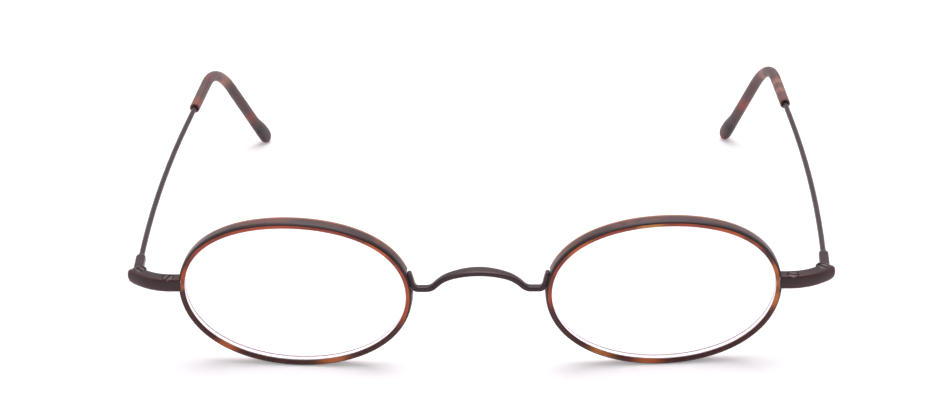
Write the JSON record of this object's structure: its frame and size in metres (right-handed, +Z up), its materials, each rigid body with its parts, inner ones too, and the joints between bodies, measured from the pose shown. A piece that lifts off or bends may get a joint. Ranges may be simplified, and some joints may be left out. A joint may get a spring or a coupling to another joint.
{
  "type": "eyeglasses",
  "caption": "Oval-lens eyeglasses with thin tortoise rim covers over split metal eyewires, a saddle bridge and slim wire temples that fold on screw hinges, with bent plastic ear tips",
  "frame": {"origin": "on the table under the middle of the bounding box, with the temples open", "axes": "+X to the wearer's left, +Y from the lenses towards the ear tips, +Z up from the table"},
  "size_m": [0.1372, 0.126, 0.0316],
  "materials": {
    "tortoise": "satin, mottled brown and orange",
    "tip_tortoise": "matte, mottled brown and orange",
    "dark_metal": "matte dark brown",
    "screw_metal": "darkened",
    "clear_lens": "clear, polished"
  },
  "bodies": {
    "front": {"bridge": "dark_metal", "left_eyewire": "dark_metal", "left_rim_cover": "tortoise", "left_lens": "clear_lens", "left_endpiece": "dark_metal", "left_closing_block": "dark_metal", "left_closing_screw": "screw_metal", "left_hinge_screw": "screw_metal", "right_eyewire": "dark_metal", "right_rim_cover": "tortoise", "right_lens": "clear_lens", "right_endpiece": "dark_metal", "right_closing_block": "dark_metal", "right_closing_screw": "screw_metal", "right_hinge_screw": "screw_metal"},
    "left_temple_body": {"left_temple_hinge": "dark_metal", "left_temple": "dark_metal", "left_temple_tip": "tip_tortoise"},
    "right_temple_body": {"right_temple_hinge": "dark_metal", "right_temple": "dark_metal", "right_temple_tip": "tip_tortoise"}
  },
  "joints": [
    {"name": "left_fold", "type": "hinge", "parent": "front", "child": "left_temple_body", "pos_m": [0.0662, -0.05392, 0.01693], "axis": [0, -0.096, 0.9954], "range_deg": [0, 86]},
    {"name": "right_fold", "type": "hinge", "parent": "front", "child": "right_temple_body", "pos_m": [-0.0662, -0.05392, 0.01693], "axis": [0, 0.096, -0.9954], "range_deg": [0, 80]}
  ]
}
